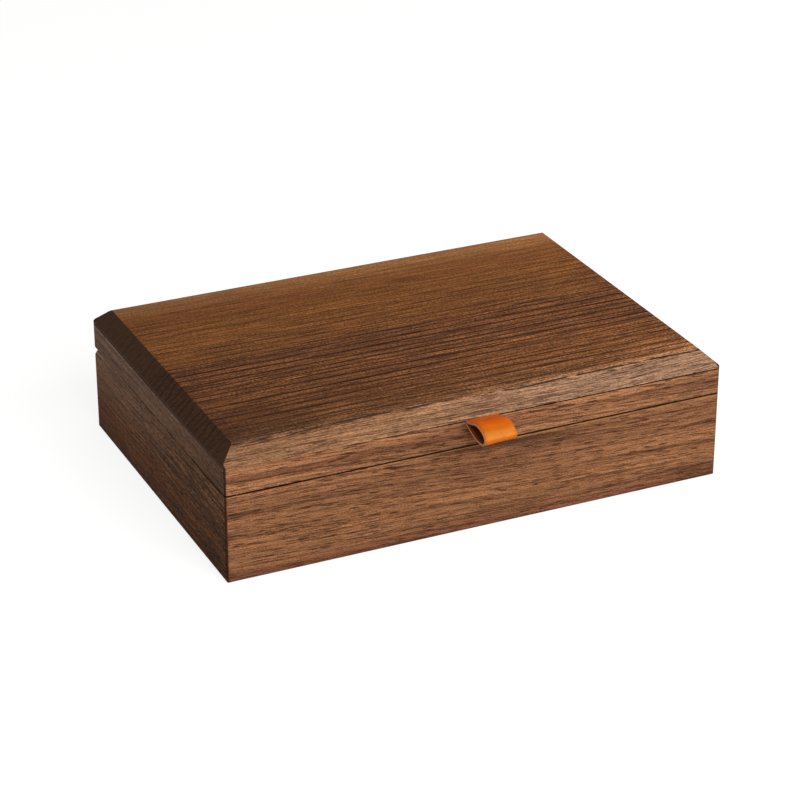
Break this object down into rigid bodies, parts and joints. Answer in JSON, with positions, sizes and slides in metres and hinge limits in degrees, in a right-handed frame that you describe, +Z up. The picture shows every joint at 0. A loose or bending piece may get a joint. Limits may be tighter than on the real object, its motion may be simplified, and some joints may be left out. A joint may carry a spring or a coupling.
{
  "type": "wooden jewelry box",
  "caption": "Low walnut jewelry box with a hinged bevelled lid, a folded leather pull tab, magnet closing and a lined inside with compartments and ring rolls.",
  "frame": {"origin": "middle of the case's flat underside", "axes": "+X along the front to the right, +Y from the front to the back, +Z up"},
  "size_m": [0.24, 0.1856, 0.0584],
  "materials": {
    "walnut": "satin oil",
    "tan_leather": "smooth, raw cut edges",
    "brass": "brushed",
    "nickel_plate": "bright plating",
    "suede": "short nap",
    "mirror": "polished"
  },
  "bodies": {
    "case": {"case_front_board": "walnut", "case_right_board": "walnut", "case_back_board": "walnut", "case_left_board": "walnut", "case_bottom_panel": "walnut", "hinge_left_case_leaf": "brass", "hinge_right_case_leaf": "brass", "hinge_left_pin": "brass", "hinge_right_pin": "brass", "case_hinge_screws": "brass", "case_magnets": "nickel_plate", "lining_front": "suede", "lining_back": "suede", "lining_left": "suede", "lining_right": "suede", "floor_pad": "suede", "long_divider": "suede", "ring_bay_divider": "suede", "back_divider": "suede", "front_left_divider": "suede", "front_right_divider": "suede", "ring_base": "suede", "ring_roll_1": "suede", "ring_roll_2": "suede", "ring_roll_3": "suede", "ring_roll_4": "suede", "ring_roll_5": "suede"},
    "lid": {"lid_top_board": "walnut", "lid_front_rail": "walnut", "lid_right_rail": "walnut", "lid_back_rail": "walnut", "lid_left_rail": "walnut", "hinge_left_lid_leaf": "brass", "hinge_right_lid_leaf": "brass", "lid_hinge_screws": "brass", "lid_magnets": "nickel_plate", "lid_lining": "suede", "lid_mirror": "mirror", "pull_tab": "tan_leather"}
  },
  "joints": [
    {"name": "lid_hinge", "type": "hinge", "parent": "case", "child": "lid", "pos_m": [0, 0.0807, 0.0414], "axis": [-1, 0, 0], "range_deg": [0, 100]}
  ]
}
